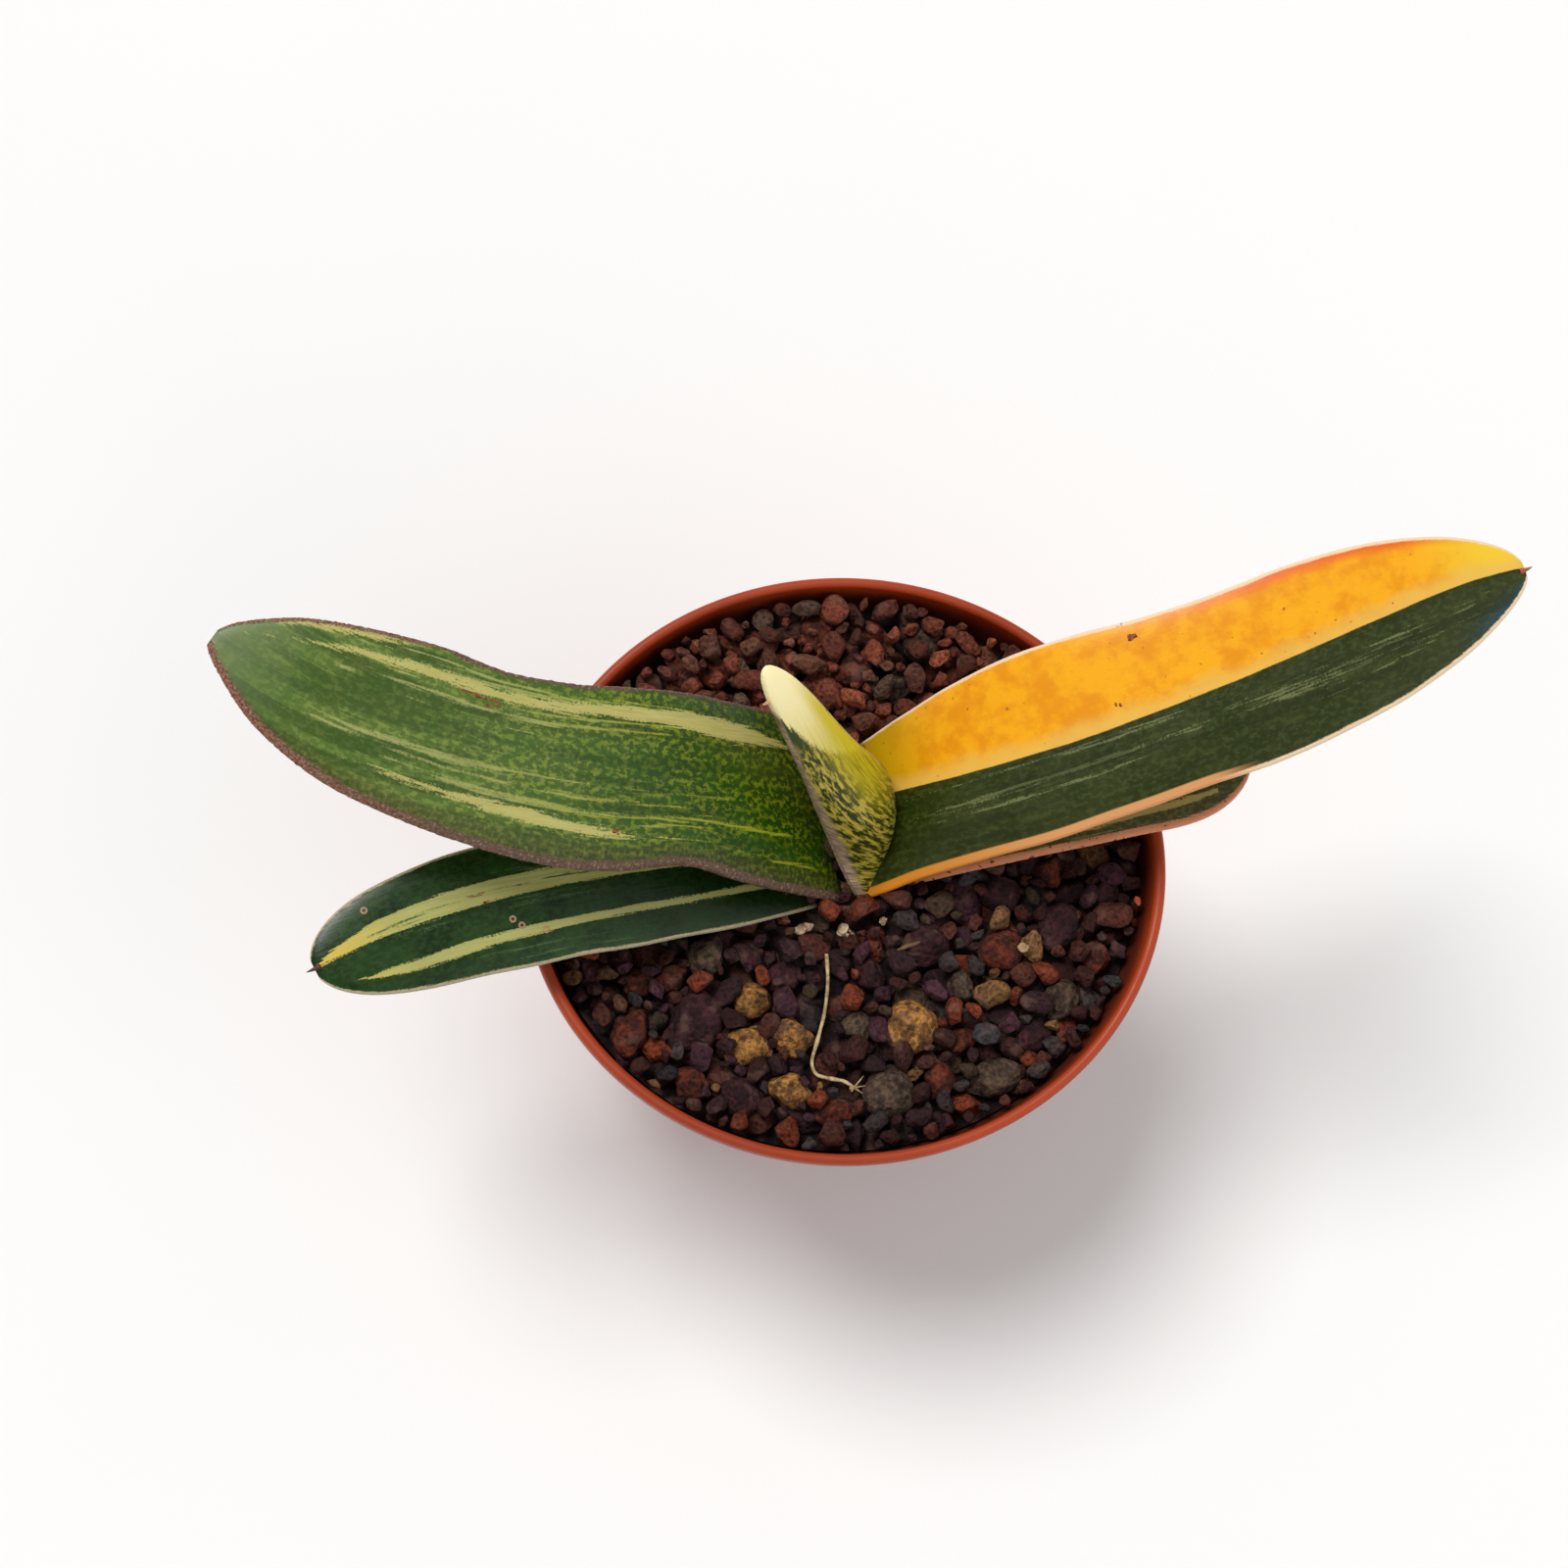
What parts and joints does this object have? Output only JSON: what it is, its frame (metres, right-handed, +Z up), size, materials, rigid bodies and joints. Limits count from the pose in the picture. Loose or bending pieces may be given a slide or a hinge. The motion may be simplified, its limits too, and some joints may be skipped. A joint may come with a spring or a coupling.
{
  "type": "potted gasteria",
  "caption": "Variegated gasteria succulent with strap leaves in two ranks, planted in crushed lava in a round tapered nursery pot with a rolled rim.",
  "frame": {"origin": "centre of the pot's flat underside", "axes": "+Z up out of the pot, +X along the leaf fan towards the amber leaf, +Y towards the back of the pot"},
  "size_m": [0.1989, 0.096, 0.1199],
  "materials": {
    "terracotta_plastic": "matte moulded plastic, slightly scuffed",
    "lava_grit": "rough porous crushed lava",
    "root_tissue": "dry fibrous root skin",
    "left_long_leaf_skin": "waxy mottled green leaf with cream streaks",
    "left_low_leaf_skin": "glossy dark green leaf with cream stripes",
    "right_long_leaf_skin": "waxy leaf, amber far half and dark green near half",
    "right_short_leaf_skin": "waxy olive leaf with peach margins",
    "centre_leaf_skin": "waxy young leaf, cream tip and mottled green base",
    "dry_fibre": "dry papery root fibre",
    "dry_leaf_base": "dry papery leaf base",
    "pumice_stone": "rough tan pumice",
    "red_stone": "rough rust-red lava",
    "purple_stone": "rough purple-brown lava",
    "grey_stone": "rough grey lava"
  },
  "bodies": {
    "root": {"centre_leaf": "centre_leaf_skin", "dry_root_strand": "dry_fibre", "dry_scrap_left": "dry_leaf_base", "dry_scrap_middle": "dry_leaf_base", "dry_scrap_right": "dry_leaf_base", "grey_stone_06": "grey_stone", "grey_stone_10": "grey_stone", "grey_stone_11": "grey_stone", "grey_stone_19": "grey_stone", "grey_stone_22": "grey_stone", "grey_stone_27": "grey_stone", "grey_stone_36": "grey_stone", "grey_stone_39": "grey_stone", "lava_fill": "lava_grit", "left_long_leaf": "left_long_leaf_skin", "left_low_leaf": "left_low_leaf_skin", "nursery_pot": "terracotta_plastic", "pumice_stone_01": "pumice_stone", "pumice_stone_02": "pumice_stone", "pumice_stone_03": "pumice_stone", "pumice_stone_04": "pumice_stone", "pumice_stone_05": "pumice_stone", "purple_stone_07": "purple_stone", "purple_stone_14": "purple_stone", "purple_stone_15": "purple_stone", "purple_stone_17": "purple_stone", "purple_stone_20": "purple_stone", "purple_stone_23": "purple_stone", "purple_stone_25": "purple_stone", "purple_stone_26": "purple_stone", "purple_stone_29": "purple_stone", "purple_stone_30": "purple_stone", "purple_stone_32": "purple_stone", "purple_stone_42": "purple_stone", "purple_stone_45": "purple_stone", "red_stone_08": "red_stone", "red_stone_09": "red_stone", "red_stone_12": "red_stone", "red_stone_13": "red_stone", "red_stone_16": "red_stone", "red_stone_18": "red_stone", "red_stone_21": "red_stone", "red_stone_24": "red_stone", "red_stone_28": "red_stone", "red_stone_31": "red_stone", "red_stone_33": "red_stone", "red_stone_34": "red_stone", "red_stone_35": "red_stone", "red_stone_37": "red_stone", "red_stone_38": "red_stone", "red_stone_40": "red_stone", "red_stone_41": "red_stone", "red_stone_43": "red_stone", "red_stone_44": "red_stone", "red_stone_46": "red_stone", "right_long_leaf": "right_long_leaf_skin", "right_short_leaf": "right_short_leaf_skin", "stem_and_roots": "root_tissue"}
  },
  "joints": []
}
